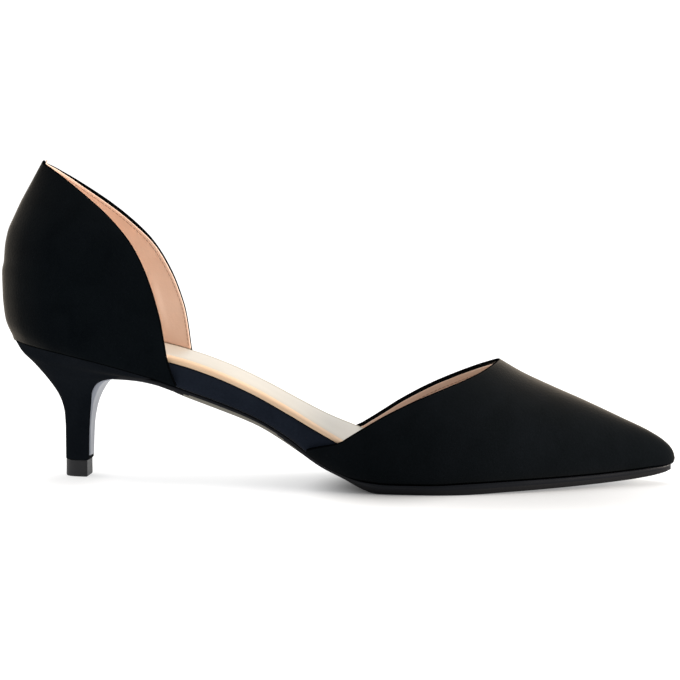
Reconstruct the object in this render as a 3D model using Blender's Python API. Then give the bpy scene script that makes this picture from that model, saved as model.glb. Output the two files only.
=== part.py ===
"""Right shoe of a pair: a pointed suede pump with open sides on a low slim heel.
Lengths are millimetres: x from the back of the heel to the toe, y to the inner side, z up from the floor."""
import math

import bmesh
import bpy
import numpy as np

# Driving sizes
WALL = 1.8
GAP = 0.3
TUCK = 1.5
TUCK_HEIGHT = 5.0
HEEL_X = 4.0
TOE_X = 248.5
CUP_LENGTH = 62.0
CUP_PEAK = 66.2
SOCK_THICK = 1.3
SOCK_ROLL = 3.0
TIP_HEIGHT = 6.2
SEAT_FRONT = 60.4
TREAD_START = (136.2, 140.0, 143.6)

# Sole plan, heights of the feather line and of the board's outer edge, and how far its inner edge drops
SOLE_COLUMNS = ("x", "lateral", "medial", "feather", "insole", "tilt")
SOLE = (
    (4.0, 0.0, 0.0, 50.8, 56.4, 0.0),
    (8.0, -11.5, 11.4, 50.3, 55.7, 0.0),
    (14.0, -18.4, 18.2, 49.4, 54.6, 0.0),
    (24.0, -24.2, 23.8, 47.8, 52.9, 0.0),
    (36.0, -26.9, 26.2, 45.3, 50.7, 0.0),
    (50.0, -26.8, 26.0, 41.7, 48.2, 0.3),
    (61.0, -26.0, 25.1, 38.5, 46.2, 0.7),
    (70.0, -25.4, 24.4, 35.2, 44.1, 1.1),
    (82.0, -24.8, 23.8, 31.0, 40.1, 1.3),
    (96.0, -24.6, 23.5, 25.4, 34.0, 1.6),
    (110.0, -26.2, 24.4, 17.5, 26.7, 1.8),
    (118.0, -28.4, 25.6, 11.7, 22.4, 1.7),
    (126.0, -31.4, 27.4, 7.3, 18.4, 1.3),
    (136.0, -35.4, 30.2, 4.4, 13.7, 0.6),
    (148.0, -38.3, 33.8, 3.5, 9.1, 0.0),
    (162.0, -38.7, 37.3, 3.55, 6.7, 0.0),
    (176.0, -36.4, 38.4, 4.1, 6.7, 0.0),
    (190.0, -31.4, 36.2, 4.55, 7.1, 0.0),
    (206.0, -23.4, 30.2, 4.85, 7.6, 0.0),
    (220.0, -15.6, 23.6, 5.25, 8.1, 0.0),
    (232.0, -9.0, 17.2, 5.95, 8.8, 0.0),
    (241.0, -4.0, 12.0, 6.8, 9.6, 0.0),
    (246.0, -0.6, 8.6, 7.5, 10.3, 0.0),
    (248.5, 4.0, 4.0, 9.6, 11.0, 0.0),
)

# Ridge of the vamp, carried on up the instep behind the throat
RIDGE_COLUMNS = ("x", "z")
RIDGE = (
    (112.0, 88.0),
    (140.0, 70.5),
    (160.0, 59.2),
    (172.0, 52.2),
    (184.0, 45.3),
    (192.3, 40.45),
    (203.2, 35.4),
    (214.2, 30.65),
    (228.8, 24.0),
    (239.8, 18.8),
    (245.3, 15.1),
    (247.6, 12.4),
    (248.5, 9.6),
)

# Throat line of the vamp seen from the side, on its outer and inner sides
THROAT_COLUMNS = ("x", "outer", "inner")
THROAT = (
    (116.4, 14.3, 13.8),
    (118.0, 15.0, 14.3),
    (122.5, 16.2, 15.3),
    (129.0, 17.8, 17.1),
    (132.0, 19.6, 18.7),
    (137.0, 22.8, 21.75),
    (145.0, 27.6, 26.85),
    (155.0, 32.7, 32.3),
    (165.0, 36.9, 36.95),
    (175.0, 40.75, 41.25),
    (180.0, 43.0, 43.35),
    (184.0, 45.3, 45.3),
    (192.0, 49.6, 49.6),
)

# Back of the heel cup, and how far its sides lean in, at heights above the seat
CUP_COLUMNS = ("h", "back", "lean")
CUP = (
    (0.0, 4.0, 1.0),
    (2.0, 3.4, 1.0),
    (4.0, 2.4, 1.0),
    (7.6, 1.0, 1.0),
    (11.4, 0.4, 1.0),
    (17.2, 0.0, 1.0),
    (24.2, 0.0, 0.995),
    (33.2, 0.5, 0.96),
    (40.2, 1.9, 0.895),
    (46.5, 4.7, 0.815),
    (51.9, 7.3, 0.71),
    (58.2, 10.8, 0.56),
    (62.6, 13.2, 0.44),
    (66.2, 15.2, 0.35),
)

# Topline of the heel cup seen from the side, down to its front edge, and how far its outer side stands ahead
TOPLINE_COLUMNS = ("x", "z", "ahead")
TOPLINE = (
    (15.2, 117.0, 0.0),
    (19.0, 114.7, 0.7),
    (23.6, 111.7, 1.2),
    (32.0, 105.8, 1.5),
    (40.5, 99.3, 1.3),
    (48.5, 91.9, 0.7),
    (52.3, 87.5, 0.35),
    (56.0, 81.9, 0.0),
    (59.8, 74.3, -0.35),
    (62.5, 67.0, -0.6),
    (64.6, 59.8, -0.8),
    (65.8, 52.6, -0.75),
    (66.7, 45.8, -0.45),
    (68.2, 40.0, -0.15),
    (69.6, 35.35, 0.0),
)
FRONT_EDGE_ROW = 8

# Outsole: inset from the plan, crown across, and height of the tread
OUTSOLE_COLUMNS = ("x", "inset", "crown", "tread")
OUTSOLE = (
    (66.0, 4.6, 0.2, 34.7),
    (70.0, 4.6, 0.4, 32.9),
    (78.0, 4.6, 0.8, 29.95),
    (85.0, 4.6, 1.1, 27.4),
    (92.3, 4.6, 1.3, 24.7),
    (99.5, 4.6, 1.4, 21.5),
    (107.0, 4.8, 1.3, 17.1),
    (114.4, 5.0, 1.0, 12.2),
    (122.0, 5.0, 0.6, 7.4),
    (130.0, 4.2, 0.2, 4.2),
    (138.0, 2.0, 0.0, 1.1),
    (142.0, 1.0, 0.0, 0.1),
    (143.5, 0.9, 0.0, 0.0),
    (170.0, 0.8, 0.0, 0.0),
    (190.0, 0.8, 0.0, 0.65),
    (210.0, 0.8, 0.0, 1.3),
    (230.0, 1.0, 0.0, 2.4),
    (238.0, 1.1, 0.0, 3.2),
    (243.0, 1.2, 0.0, 4.0),
    (248.5, 1.3, 0.0, 5.6),
)

# Breast flap of the outsole: outer face from the seat down to the tip, and half width
FLAP_COLUMNS = ("x", "z", "half")
FLAP = (
    (62.0, 35.8, 20.6),
    (58.0, 36.6, 19.4),
    (53.0, 37.2, 17.6),
    (48.0, 37.4, 15.8),
    (44.0, 37.1, 14.0),
    (40.7, 36.1, 11.9),
    (38.2, 34.3, 10.0),
    (36.3, 31.6, 8.2),
    (35.0, 28.4, 6.9),
    (34.1, 24.6, 5.8),
    (33.5, 20.0, 5.1),
    (33.2, 14.0, 4.7),
    (33.1, 8.0, 4.4),
)
FLAP_THICK = 1.1

# Heel: back and front of each ring, its half width and how square it is
HEEL_COLUMNS = ("back_x", "back_z", "front_x", "front_z", "half", "square")
HEEL = (
    (8.3, 46.8, 55.0, 38.75, 23.4, 0.55),
    (11.8, 42.9, 49.0, 38.95, 19.8, 0.62),
    (14.8, 39.2, 43.6, 38.65, 16.3, 0.7),
    (17.2, 36.0, 39.4, 37.5, 13.2, 0.78),
    (18.95, 33.5, 36.5, 35.4, 11.0, 0.82),
    (20.7, 30.6, 34.5, 32.0, 8.9, 0.84),
    (22.05, 27.3, 33.3, 28.2, 7.3, 0.84),
    (22.85, 23.4, 32.5, 23.6, 6.1, 0.82),
    (23.15, 17.0, 31.95, 17.0, 5.2, 0.8),
    (23.1, 6.5, 31.6, 6.5, 4.9, 0.8),
)


def column(rows, columns, name):
    return np.array([row[columns.index(name)] for row in rows], float)


def smooth(xs, ys, at):
    """Curve through the rows that never overshoots between two of them."""
    at = np.clip(np.asarray(at, float), xs[0], xs[-1])
    step = np.diff(xs)
    slope = np.diff(ys) / step
    tangent = np.zeros(len(xs))
    tangent[0] = slope[0]
    tangent[-1] = slope[-1]
    for k in range(1, len(xs) - 1):
        if slope[k - 1] * slope[k] > 0:
            before = 2 * step[k] + step[k - 1]
            after = step[k] + 2 * step[k - 1]
            tangent[k] = (before + after) / (before / slope[k - 1] + after / slope[k])
    k = np.clip(np.searchsorted(xs, at, side="right") - 1, 0, len(xs) - 2)
    s = (at - xs[k]) / step[k]
    rise = (3 - 2 * s) * s * s
    return (
        ys[k] * (1 - rise)
        + ys[k + 1] * rise
        + step[k] * s * (1 - s) * (tangent[k] * (1 - s) - tangent[k + 1] * s)
    )


def station(x):
    """Angle that runs from 0 at the heel to pi at the toe, so that both ends are round."""
    ratio = np.clip((np.asarray(x, float) - HEEL_X) / (TOE_X - HEEL_X), 0, 1)
    return np.arccos(1 - 2 * ratio)


def along(t):
    return HEEL_X + (TOE_X - HEEL_X) * (1 - np.cos(t)) / 2


SOLE_T = station(column(SOLE, SOLE_COLUMNS, "x"))


def sole(name, t):
    return smooth(SOLE_T, column(SOLE, SOLE_COLUMNS, name), t)


def read(rows, columns, key, name, at):
    return smooth(column(rows, columns, key), column(rows, columns, name), at)


def outsole(name, x):
    return read(OUTSOLE, OUTSOLE_COLUMNS, "x", name, x)


def plan(side, t, inset):
    """Point of the sole's outline at a station, moved in by inset."""
    edge = "lateral" if side < 0 else "medial"
    near = 1e-3
    dx = along(t + near) - along(t - near)
    dy = sole(edge, np.clip(t + near, 0, math.pi)) - sole(edge, np.clip(t - near, 0, math.pi))
    length = np.maximum(np.hypot(dx, dy), 1e-9)
    return along(t) + inset * side * dy / length, sole(edge, t) - inset * side * dx / length


def tuck(h):
    return TUCK * np.clip(1 - h / TUCK_HEIGHT, 0, 1) ** 2


def cup_point(side, t, h, inset):
    """Point of the last around the heel and waist, h above the feather line."""
    x0, y0 = plan(side, t, inset)
    back = read(CUP, CUP_COLUMNS, "h", "back", h) - HEEL_X
    fade = np.clip(1 - (along(t) - HEEL_X) / CUP_LENGTH, 0, 1)
    lean = read(CUP, CUP_COLUMNS, "h", "lean", h)
    drawn = np.sign(y0) * np.minimum(np.abs(y0), tuck(h) * np.clip(np.abs(y0) / 20, 0, 1))
    return x0 + back * fade, (y0 - drawn) * lean, sole("feather", station(x0)) + h


def vamp_point(side, x, turn):
    """Point of the last over the forefoot: turn runs from 0 at the feather line to 1 on the ridge."""
    t = station(x)
    edge = sole("lateral" if side < 0 else "medial", t)
    middle = (sole("lateral", t) + sole("medial", t)) / 2
    low = sole("feather", t)
    high = read(RIDGE, RIDGE_COLUMNS, "x", "z", x)
    h = (high - low) * np.sin(turn * math.pi / 2)
    reach = edge - middle
    drawn = np.sign(reach) * tuck(h) * np.clip(np.abs(reach) / 14, 0, 1) ** 2
    return middle + (reach - drawn) * np.cos(turn * math.pi / 2), low + h


def throat_x(side, turn):
    """Where the line of this turn leaves the throat."""
    low, high = THROAT[0][0], 190.0
    for _ in range(50):
        x = (low + high) / 2
        cut = read(THROAT, THROAT_COLUMNS, "x", "outer" if side < 0 else "inner", x)
        above = vamp_point(side, x, turn)[1] - cut
        low, high = (x, high) if above > 0 else (low, x)
    return (low + high) / 2


def material(name, hex_colour, roughness, metallic=0.0):
    made = bpy.data.materials.new(name)
    made.use_nodes = True
    shader = made.node_tree.nodes["Principled BSDF"]
    parts = [int(hex_colour[k : k + 2], 16) / 255 for k in (1, 3, 5)]
    linear = [c / 12.92 if c <= 0.04045 else ((c + 0.055) / 1.055) ** 2.4 for c in parts]
    shader.inputs["Base Color"].default_value = (*linear, 1)
    shader.inputs["Roughness"].default_value = roughness
    shader.inputs["Metallic"].default_value = metallic
    made.diffuse_color = (*linear, 1)
    return made


def add(name, points, faces, look):
    mesh = bpy.data.meshes.new(name)
    mesh.from_pydata([tuple(p) for p in np.asarray(points, float) / 1000], [], faces)
    mesh.polygons.foreach_set("use_smooth", [True] * len(mesh.polygons))
    mesh.set_sharp_from_angle(angle=math.radians(40))
    made = bpy.data.objects.new(name, mesh)
    made.data.materials.append(look)
    bpy.context.collection.objects.link(made)
    return made


def loft(name, rings, look):
    """Solid through closed rings. A ring runs across its near side and back across its far side, so its two
    halves face each other and close each end as a strip."""
    count = len(rings[0])
    points = [p for ring in rings for p in ring]
    faces = []
    for i in range(len(rings) - 1):
        for j in range(count):
            k = (j + 1) % count
            faces.append((i * count + j, i * count + k, (i + 1) * count + k, (i + 1) * count + j))
    last = (len(rings) - 1) * count
    for j in range(count // 2 - 1):
        k = count - 1 - j
        faces.append((j + 1, j, k, k - 1))
        faces.append((last + j, last + j + 1, last + k - 1, last + k))
    made = add(name, points, faces, look)
    face_out(made)
    return made


def face_out(made):
    """Turn every face outwards."""
    work = bmesh.new()
    work.from_mesh(made.data)
    bmesh.ops.recalc_face_normals(work, faces=work.faces)
    if work.calc_volume(signed=True) < 0:
        bmesh.ops.reverse_faces(work, faces=work.faces)
    work.to_mesh(made.data)
    work.free()


def shell(name, grid, look, pole=None):
    """Leather wall of even thickness inside a grid of points, closed to a pole at the end of each line."""
    rows, count = len(grid), len(grid[0])
    points = [p for row in grid for p in row]
    faces = []
    for i in range(rows - 1):
        for j in range(count - 1):
            faces.append((i * count + j, i * count + j + 1, (i + 1) * count + j + 1, (i + 1) * count + j))
    if pole is not None:
        points.append(pole)
        end = (rows - 1) * count
        faces += [(end + j, end + j + 1, len(points) - 1) for j in range(count - 1)]
    made = add(name, points, faces, look)
    wall = made.modifiers.new("wall", "SOLIDIFY")
    wall.thickness = WALL / 1000
    wall.offset = -1
    wall.use_even_offset = True
    wall.use_quality_normals = True
    wall.use_rim = True
    return made


def build_vamp(look):
    sides, steps = 17, 27
    turns = (np.arange(sides + 1) / sides) ** 1.35
    starts = {side: [throat_x(side, turn) for turn in turns] for side in (-1, 1)}
    lines = [(1, k) for k in range(sides + 1)] + [(-1, k) for k in range(sides - 1, -1, -1)]
    grid = []
    for i in range(steps):
        reach = 0.55 * (1 - math.cos(math.pi * i / steps)) / 2 + 0.45 * (1 - (1 - i / steps) ** 1.8)
        row = []
        for side, k in lines:
            x = starts[side][k] + (TOE_X - starts[side][k]) * reach
            y, z = vamp_point(side, x, turns[k])
            row.append((x, float(y), float(z)))
        grid.append(row)
    nose = (TOE_X, SOLE[-1][1], SOLE[-1][3])
    return shell("vamp", grid, look, nose)


def edge_in_cup(x, z):
    """Station and height on the cup's surface of a point given in the side view."""
    t, h = station(x), 0.0
    for _ in range(60):
        h = z - sole("feather", t)
        back = read(CUP, CUP_COLUMNS, "h", "back", h) - HEEL_X
        x0 = (x - back * (1 + HEEL_X / CUP_LENGTH)) / (1 - back / CUP_LENGTH)
        t = station(x0)
    return float(t), float(h)


def spaced(rows, count):
    """Points at equal steps along a line given by its corners."""
    rows = np.array(rows, float)
    scale = np.array([25.0, 1.0])
    length = np.concatenate([[0], np.cumsum(np.linalg.norm(np.diff(rows * scale, axis=0), axis=1))])
    at = np.linspace(0, length[-1], count + 1)
    return np.stack([smooth(length, rows[:, k], at) for k in (0, 1)], axis=1)


def half_counter(side, around, up):
    """One side of the counter, filled in from its topline, front edge, feather line and back."""
    edge = [edge_in_cup(x + (ahead if side < 0 else 0.0), z) for x, z, ahead in TOPLINE]
    edge[0] = (0.0, CUP_PEAK)
    corner = edge[-1][0]
    top = spaced(edge[: FRONT_EDGE_ROW + 1], around)
    front = spaced(edge[: FRONT_EDGE_ROW - 1 : -1], up)
    low = spaced([(0.0, 0.0), (corner / 2, 0.0), (corner, 0.0)], around)
    back = spaced([(0.0, 0.0), (0.0, CUP_PEAK / 2), (0.0, CUP_PEAK)], up)
    front[0] = low[-1]
    grid = []
    for j in range(up + 1):
        v = j / up
        half = []
        for i in range(around + 1):
            u = i / around
            p = (1 - v) * low[i] + v * top[i] + (1 - u) * back[j] + u * front[j]
            p = p - (1 - u) * (1 - v) * low[0] - u * (1 - v) * low[-1]
            p = p - (1 - u) * v * top[0] - u * v * top[-1]
            half.append(tuple(float(c) for c in cup_point(side, p[0], p[1], 0.0)))
        grid.append(half)
    return grid


def build_counter(look):
    around, up = 19, 13
    inner = half_counter(1, around, up)
    outer = half_counter(-1, around, up)
    grid = [far[::-1] + near[1:] for far, near in zip(inner, outer)]
    return shell("heel_counter", grid, look)


def across(left, right, count, drop=0.0):
    """Points from one edge to the other, sagging by drop in the middle."""
    made = []
    for f in np.linspace(0, 1, count + 1):
        p = np.array(left) * (1 - f) + np.array(right) * f
        p[2] -= drop * 4 * f * (1 - f)
        made.append(tuple(p))
    return made


def inner_edge(side, t, share, more, inset):
    """Point beside the wall, at a share of the board's thickness and some more."""
    there = station(plan(side, t, inset)[0])
    thick = sole("insole", there) - sole("feather", there) - (side > 0) * sole("tilt", there)
    h = float(thick) * share + more
    x, y, z = cup_point(side, t, h, inset + 0.3 * float(tuck(h)))
    return (float(x), float(y), float(z))


def toe_extra(t):
    return float(np.clip((along(t) - 196) / 50, 0, 1)) * 1.9


STATIONS = [float(t) for t in np.linspace(0.04, math.pi - 0.05, 46)]
STATIONS = sorted(STATIONS + [float(station(x)) for x in TREAD_START])


def build_board(look):
    columns, rings = 4, []
    inset = WALL + GAP + 0.15
    for t in STATIONS:
        room = inset + toe_extra(t)
        crown = float(outsole("crown", along(t))) if along(t) > 66 else 0.0
        levels = [(0.0, 0.0), (0.25, 0.0), (0.6, 0.0), (0.9, 0.0), (1.0, 0.5)]
        left = [inner_edge(-1, t, share, 0.0, room + into) for share, into in levels]
        right = [inner_edge(1, t, share, 0.0, room + into) for share, into in levels]
        ring = left[::-1] + across(left[0], right[0], columns, crown)[1:-1] + right
        ring += across(right[-1], left[-1], columns)[1:-1]
        rings.append(balanced(ring, len(levels), columns))
    return loft("insole_board", rings, look)


def balanced(ring, levels, columns):
    """Start the ring at the middle of its left side, so that its halves face each other."""
    turn = levels - 1 - levels // 2
    shifted = ring[turn:] + ring[:turn]
    return shifted


def build_sock(look):
    columns, rings = 4, []
    inset = WALL + GAP + 0.25
    roll = ((0.0, 0.0), (-0.05, 0.3), (0.08, 0.6), (0.4, 0.88), (1.0, 1.0))
    profile = [(SOCK_ROLL * into, GAP + SOCK_THICK * up) for into, up in roll]
    for t in STATIONS:
        room = inset + toe_extra(t) * 1.25
        left = [inner_edge(-1, t, 1.0, up, room + into) for into, up in profile]
        right = [inner_edge(1, t, 1.0, up, room + into) for into, up in profile]
        ring = left[::-1] + across(left[0], right[0], columns)[1:-1] + right
        ring += across(right[-1], left[-1], columns, 0.15)[1:-1]
        rings.append(balanced(ring, len(profile), columns))
    return loft("insole_sock", rings, look)


def build_outsole(look):
    columns, rings = 6, []
    walk = [t for t in STATIONS[::-1] if along(t) > 67]
    for t in [float(station(247.3))] + walk:
        inset, crown = float(outsole("inset", along(t))), float(outsole("crown", along(t)))
        edges = []
        for side in (-1, 1):
            x, y = (float(v) for v in plan(side, t, inset))
            top = float(sole("feather", station(x))) - GAP
            tread = float(outsole("tread", x))
            middle = top * 0.55 + tread * 0.45
            room = abs(y - float(sole("lateral", t) + sole("medial", t)) / 2)
            edges.append(
                {
                    "upper": (x, y - side * min(0.25, room / 3), top),
                    "middle": (x, y, middle),
                    "lower": (x, y - side * min(1.2, room / 2), tread),
                }
            )
        left, right = edges
        ring = [left["middle"]] + across(left["lower"], right["lower"], columns, crown)
        ring += [right["middle"]] + across(right["upper"], left["upper"], columns, crown)
        rings.append(ring)
    flap = np.array(FLAP)
    for k in range(len(flap)):
        before, after = flap[max(k - 1, 0)], flap[min(k + 1, len(flap) - 1)]
        way = (after - before)[:2] / np.linalg.norm((after - before)[:2])
        into = np.array([way[1], -way[0]])
        x, z, half = flap[k]
        thick = FLAP_THICK + (0.35 if k == 0 else 0.0)
        inner = np.array([x, z]) + into * thick
        mid = np.array([x, z]) + into * thick * 0.55
        middle = -0.4
        ring = [(mid[0], middle - half, mid[1])]
        ring += across((x, middle - half + 0.5, z), (x, middle + half - 0.5, z), columns)
        ring.append((mid[0], middle + half, mid[1]))
        left, right = middle - half + 0.1, middle + half - 0.1
        ring += across((inner[0], right, inner[1]), (inner[0], left, inner[1]), columns)
        rings.append(ring)
    return loft("outsole", rings, look)


def heel_ring(back, front, half, square, segments):
    """Rounded ring from the front corner on the outer side, round the back, to the other corner."""
    made = []
    for k in range(2 * segments + 1):
        q = (k - segments) / segments
        a = abs(q) * math.pi / 2
        f = 1 - math.cos(a)
        wide = half * math.sin(a) ** square if a > 0 else 0.0
        x = back[0] + (front[0] - back[0]) * f
        z = back[1] + (front[1] - back[1]) * f
        made.append((x, -0.4 + math.copysign(wide, q), z))
    return made


def seat_ring(segments, front, drop, inset):
    """Ring that follows the seat under the cup."""
    made = []
    for k in range(2 * segments + 1):
        q = (k - segments) / segments
        t = float(station(HEEL_X + (front - HEEL_X) * (1 - math.cos(abs(q) * math.pi / 2))))
        x, y, z = cup_point(-1 if q < 0 else 1, t, 0.0, inset)
        made.append((float(x), float(y) if q else 0.0, float(z) - drop))
    return made


def build_heel(look):
    segments = 12
    rings = [
        seat_ring(segments, SEAT_FRONT, GAP, 0.1),
        seat_ring(segments, SEAT_FRONT - 0.6, GAP + 0.55, 0.15),
    ]
    for row in HEEL:
        back_x, back_z, front_x, front_z, half, square = row
        rings.append(heel_ring((back_x, back_z), (front_x, front_z), half, square, segments))
    return closed_column("heel_block", rings, look)


def closed_column(name, rings, look):
    """Solid through rings that are open at the front, closed by a flat front and by strips at both ends."""
    count = len(rings[0])
    points = [p for ring in rings for p in ring]
    faces = []
    for i in range(len(rings) - 1):
        for j in range(count):
            k = (j + 1) % count
            faces.append((i * count + j, i * count + k, (i + 1) * count + k, (i + 1) * count + j))
    for base in (0, (len(rings) - 1) * count):
        for j in range(count // 2):
            k = count - 1 - j
            if j + 1 == k - 1:
                faces.append((base + j, base + j + 1, base + k))
            else:
                faces.append((base + j, base + j + 1, base + k - 1, base + k))
    made = add(name, points, faces, look)
    face_out(made)
    return made


def build_tip(look):
    rings = []
    for z, in_by in ((0.0, 0.5), (0.5, 0.0), (TIP_HEIGHT - 0.4, 0.0), (TIP_HEIGHT, 0.4)):
        rings.append(heel_ring((23.3 + in_by, z), (32.1 - in_by, z), 4.8 - in_by, 0.8, 10))
    return closed_column("heel_tip", rings, look)


def centre(made):
    """Origin under the middle of the shoe's box, on the floor."""
    bpy.context.view_layer.update()
    graph = bpy.context.evaluated_depsgraph_get()
    corners = []
    for item in made:
        evaluated = item.evaluated_get(graph)
        corners += [tuple(c) for c in evaluated.bound_box]
    corners = np.array(corners)
    shift = (corners.min(axis=0) + corners.max(axis=0)) / 2
    for item in made:
        for vertex in item.data.vertices:
            vertex.co.x -= shift[0]
            vertex.co.y -= shift[1]


def main():
    for old in list(bpy.data.objects):
        bpy.data.objects.remove(old)
    made = [
        build_vamp(material("vamp suede", "#1B1A1B", 0.9)),
        build_counter(material("counter suede", "#1B1A1B", 0.9)),
        build_board(material("board cover suede", "#191819", 0.9)),
        build_sock(material("sock leather", "#EBCFB9", 0.45)),
        build_outsole(material("sole sheet", "#1A1A1D", 0.25)),
        build_heel(material("heel cover suede", "#1A191A", 0.9)),
        build_tip(material("tip rubber", "#2B2B33", 0.55)),
    ]
    centre(made)


main()
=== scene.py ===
"""Dressed right shoe of a pair: a pointed black suede pump with open sides on a low slim heel.
The shoe's own sizes are millimetres: x from the back of the heel to the toe, y to the inner side, z up."""
import math
from types import SimpleNamespace

import bmesh
import bpy
import numpy as np
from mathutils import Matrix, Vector


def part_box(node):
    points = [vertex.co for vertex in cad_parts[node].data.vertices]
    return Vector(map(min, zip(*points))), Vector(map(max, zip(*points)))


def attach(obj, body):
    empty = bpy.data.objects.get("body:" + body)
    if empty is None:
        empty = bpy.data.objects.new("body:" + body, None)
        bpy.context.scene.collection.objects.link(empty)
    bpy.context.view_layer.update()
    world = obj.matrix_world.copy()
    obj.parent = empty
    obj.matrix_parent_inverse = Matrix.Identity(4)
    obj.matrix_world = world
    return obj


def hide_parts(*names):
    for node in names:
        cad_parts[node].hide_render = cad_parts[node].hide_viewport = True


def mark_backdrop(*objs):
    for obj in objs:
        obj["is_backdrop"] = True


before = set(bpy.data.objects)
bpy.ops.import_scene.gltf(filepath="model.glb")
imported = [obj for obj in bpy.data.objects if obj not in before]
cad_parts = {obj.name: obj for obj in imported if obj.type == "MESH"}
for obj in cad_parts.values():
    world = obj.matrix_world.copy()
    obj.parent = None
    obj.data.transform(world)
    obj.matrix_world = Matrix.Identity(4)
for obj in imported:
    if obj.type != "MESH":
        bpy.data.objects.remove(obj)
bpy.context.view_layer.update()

# Thickness of each layer, and the sizes that place it
WALL = 1.8
SUEDE_THICK = 1.25
LINING_THICK = 0.5
GAP = 0.3
TUCK = 1.5
TUCK_HEIGHT = 5.0
HEEL_X = 4.0
TOE_X = 248.5
CUP_LENGTH = 62.0
CUP_PEAK = 66.7
BOARD_FLARE = 1.6
SOCK_THICK = 1.3
SOCK_PAD = 1.1
SOCK_CLEAR = 1.28
SOCK_ROLL = 5.5
SOCK_CROWN = 0.35
TIP_HEIGHT = 6.2
SEAT_FRONT = 60.4
FLAP_THICK = 1.1
HEEL_Y = -0.4
STIFFENER_TOP = 27.7
FOOT_SIDE = 3.0
SEAM_LAP = 0.15
SEAT_INSET = 0.45
SEAT_END = 84.0
THROAT_END = 190.0
LAYER_GAP = 0.04

# Distance from the middle over which the tuck fades in at cup and vamp, and the board's share of it
CUP_TUCK_FADE = 20.0
VAMP_TUCK_FADE = 14.0
BOARD_TUCK = 0.3

# How strongly the vamp's rows close up to its edges, and the flattest meeting of a row with the throat
CLOSE_UP = 1.2
LEAST_SQUARE = 0.35

# Step over the end of the stiffener: rise, softness, and how far it fades up and round
STEP_RISE = 0.32
STEP_SOFT = 1.3
STEP_FADE = 10.0
STEP_REACH = 42.0

# Extra room for board and sock towards the toe, and the ease beside the wall
TOE_ROOM = 1.9
TOE_ROOM_START = 196.0
TOE_ROOM_RUN = 50.0
BOARD_EASE = 0.15
SOCK_EASE = 0.25
SOCK_TOE_SHARE = 1.25

# Where the board's foot flares, as shares of its height
FLARE_TOP = 0.9
FLARE_FADE = 0.4

# How far in over its edge the sock is bare on both sides, and matt on the far side, as shares of its roll;
# further in, the glazed top's colour is painted pale for its shine
ROLLED_NEAR = 0.4
ROLLED_FAR = 0.28
TURNED_FAR = 0.6

# Padding of the sock's outer edge along the shoe
PAD_START = 20.0
PAD_RISE = 35.0
PAD_END = 150.0
PAD_FALL = 40.0

# Suede thinned at the nose, and the lining's foot, which rises towards the toe
SKIVED_LEAST = 0.4
SKIVED_REACH = 9.0
NOSE_LIFT = 0.3
NOSE_TAIL = 0.3
LINING_FOOT = 2.5
LINING_FOOT_START = 200.0
LINING_FOOT_RUN = 25.0
LINING_STOP = 9.0
COUNTER_LINING_LOW = 8.8
COUNTER_SEAM_LOW = 10.5
VAMP_SEAM_IN = 2.2
VAMP_SEAM_FOOT = 1.0
VAMP_SEAM_TRIM = 14
THREAD_PROUD = 0.03
VAMP_THREAD_PROUD = 0.05

# Outsole: its ends, the lap of the flap on the heel, the flap's hollow and the run of the waist along which
# a pale glint is painted
SOLE_BACK = 67.0
SOLE_NOSE = 247.3
FLAP_LAP = 0.9
FLAP_UPRIGHT = 44.0
HOLLOW = 0.08
HOLLOW_START = 14.0
HOLLOW_RISE = 12.0
HOLLOW_FALL = 8.0
PAINTED_SHARE = 0.4
GLINT_FRONT = 104.0
GLINT_FRONT_FADE = 13.0
GLINT_BACK = 76.0
GLINT_BACK_FADE = 8.0

# Heel tip seen from the side and its half width
TIP_BACK = 23.3
TIP_FRONT = 32.1
TIP_HALF = 4.8
TIP_SQUARE = 0.8

# Points across the board and the sock, the sock's crowned top and the outsole
ACROSS = 12
SOCK_ACROSS = 24
SOLE_ACROSS = 18

# Sole plan, heights of the feather line and of the board's outer edge, and how far its inner edge drops
SOLE_COLUMNS = ("x", "lateral", "medial", "feather", "insole", "tilt")
SOLE = (
    (4.0, 0.0, 0.0, 50.8, 56.4, 0.0),
    (8.0, -11.5, 11.4, 50.3, 55.7, 0.0),
    (14.0, -18.4, 18.2, 49.4, 54.6, 0.0),
    (24.0, -24.2, 23.8, 47.8, 52.9, 0.0),
    (36.0, -26.9, 26.2, 45.3, 50.7, 0.0),
    (50.0, -26.8, 26.0, 41.7, 48.2, 0.3),
    (61.0, -26.0, 25.1, 38.5, 46.2, 0.7),
    (70.0, -25.4, 24.4, 35.2, 44.1, 1.1),
    (82.0, -24.8, 23.8, 31.0, 40.1, 1.3),
    (96.0, -24.6, 23.5, 25.4, 34.0, 1.6),
    (110.0, -26.2, 24.4, 17.5, 26.7, 1.8),
    (118.0, -28.4, 25.6, 11.7, 22.4, 1.7),
    (126.0, -31.4, 27.4, 7.3, 18.4, 1.3),
    (136.0, -35.4, 30.2, 4.4, 13.7, 0.6),
    (148.0, -38.3, 33.8, 3.5, 9.1, 0.0),
    (162.0, -38.7, 37.3, 3.55, 6.7, 0.0),
    (176.0, -36.4, 38.4, 4.1, 6.7, 0.0),
    (190.0, -31.4, 36.2, 4.55, 7.1, 0.0),
    (206.0, -23.4, 30.2, 4.85, 7.6, 0.0),
    (220.0, -15.6, 23.6, 5.25, 8.1, 0.0),
    (232.0, -9.0, 17.2, 5.95, 8.8, 0.0),
    (241.0, -4.0, 12.0, 6.8, 9.6, 0.0),
    (246.0, -0.6, 8.6, 7.3, 10.3, 0.0),
    (247.8, 1.57, 6.43, 7.7, 10.8, 0.0),
    (248.5, 4.0, 4.0, 9.4, 11.0, 0.0),
)

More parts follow.
